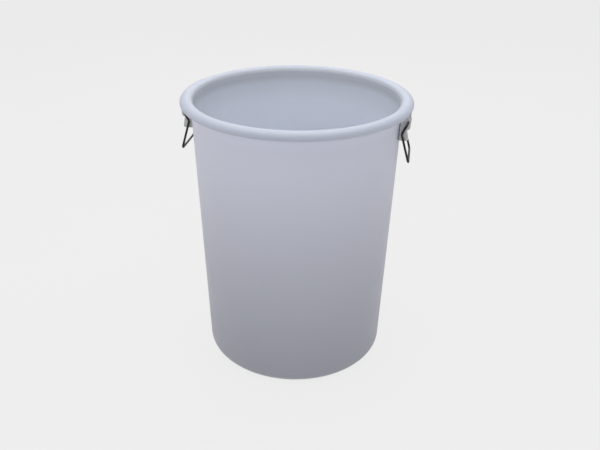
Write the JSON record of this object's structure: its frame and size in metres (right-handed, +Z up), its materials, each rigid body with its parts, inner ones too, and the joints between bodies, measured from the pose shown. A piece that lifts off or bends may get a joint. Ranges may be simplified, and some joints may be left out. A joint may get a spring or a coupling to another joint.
{
  "type": "plastic open head drum",
  "caption": "Tapered round open head drum of white moulded plastic with a rolled rim and two drop-down wire bails hung in steel ear brackets under the rim.",
  "frame": {"origin": "centre of the foot ring, on the surface that the drum stands on", "axes": "+Z up along the drum axis; the bails hang on the +X and -X sides; +Y is one of the two plain sides"},
  "size_m": [0.5278, 0.5278, 0.65],
  "materials": {
    "drum_plastic": "natural white polyethylene, waxy, low gloss",
    "bracket_steel": "dull galvanised pressed sheet",
    "bail_wire": "black enamelled wire, worn at the hinge and grip",
    "bolt_steel": "zinc plated",
    "inner_steel": "bright stainless"
  },
  "bodies": {
    "drum": {"drum_body": "drum_plastic", "ear_bracket_right": "bracket_steel", "backing_plate_right": "inner_steel", "bolt_right_1": "bolt_steel", "bolt_right_2": "bolt_steel", "bolt_right_3": "bolt_steel", "bolt_right_4": "bolt_steel", "nut_right_1": "inner_steel", "nut_right_2": "inner_steel", "nut_right_3": "inner_steel", "nut_right_4": "inner_steel", "ear_bracket_left": "bracket_steel", "backing_plate_left": "inner_steel", "bolt_left_1": "bolt_steel", "bolt_left_2": "bolt_steel", "bolt_left_3": "bolt_steel", "bolt_left_4": "bolt_steel", "nut_left_1": "inner_steel", "nut_left_2": "inner_steel", "nut_left_3": "inner_steel", "nut_left_4": "inner_steel"},
    "bail_right": {"bail_right": "bail_wire"},
    "bail_left": {"bail_left": "bail_wire"}
  },
  "joints": [
    {"name": "bail_right_hinge", "type": "hinge", "parent": "drum", "child": "bail_right", "pos_m": [0.2544, 0, 0.6125], "axis": [0, -1, 0], "range_deg": [-12, 187]},
    {"name": "bail_left_hinge", "type": "hinge", "parent": "drum", "child": "bail_left", "pos_m": [-0.2544, 0, 0.6125], "axis": [0, 1, 0], "range_deg": [-12, 187]}
  ]
}
